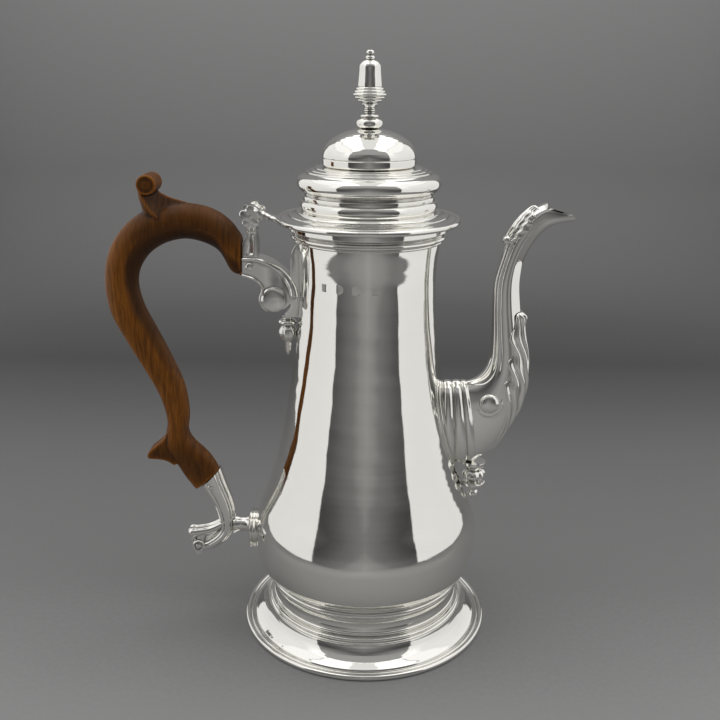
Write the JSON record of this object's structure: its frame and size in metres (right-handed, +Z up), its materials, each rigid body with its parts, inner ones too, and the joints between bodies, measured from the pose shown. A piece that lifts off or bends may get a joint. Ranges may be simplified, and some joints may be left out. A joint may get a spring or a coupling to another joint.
{
  "type": "coffee pot",
  "caption": "Tall baluster coffee pot in polished silver with a swan-neck spout, a pinned wooden scroll handle and a domed lid on a stand-away hinge.",
  "frame": {"origin": "body axis at the plane the foot stands on", "axes": "+Z up along the body's axis, +X towards the spout, -X towards the handle, +Y away from the shown side"},
  "size_m": [0.2068, 0.1172, 0.2647],
  "materials": {
    "polished_silver": "mirror polished silver with fine hairline wear",
    "cast_silver": "polished cast silver, darker in its recesses",
    "hinge_silver": "polished silver with wear at the hinge",
    "fruitwood": "oiled and waxed, dark patina on the scroll"
  },
  "bodies": {
    "pot": {"body_shell": "polished_silver", "body_rim_mount": "polished_silver", "foot": "polished_silver", "foot_rim_wire": "polished_silver", "spout": "polished_silver", "spout_collar": "cast_silver", "spout_leaf": "cast_silver", "spout_shell": "cast_silver", "spout_drop": "cast_silver", "upper_socket": "cast_silver", "upper_socket_backplate": "cast_silver", "upper_socket_drop": "cast_silver", "upper_socket_pin": "hinge_silver", "lower_socket": "cast_silver", "lower_socket_scroll": "cast_silver", "lower_socket_collar": "cast_silver", "lower_socket_pin": "hinge_silver", "handle": "fruitwood", "hinge_post": "hinge_silver", "hinge_knuckles": "hinge_silver", "hinge_end_plates": "hinge_silver", "hinge_pin": "hinge_silver"},
    "lid": {"lid_knuckle": "hinge_silver", "lid_flange": "polished_silver", "lid_drum": "polished_silver", "lid_dome": "polished_silver", "lid_bezel": "polished_silver", "finial_baluster": "cast_silver", "finial_acorn": "cast_silver"}
  },
  "joints": [
    {"name": "lid_hinge", "type": "hinge", "parent": "pot", "child": "lid", "pos_m": [-0.0505, 0, 0.1965], "axis": [0, -1, 0], "range_deg": [0, 105]}
  ]
}
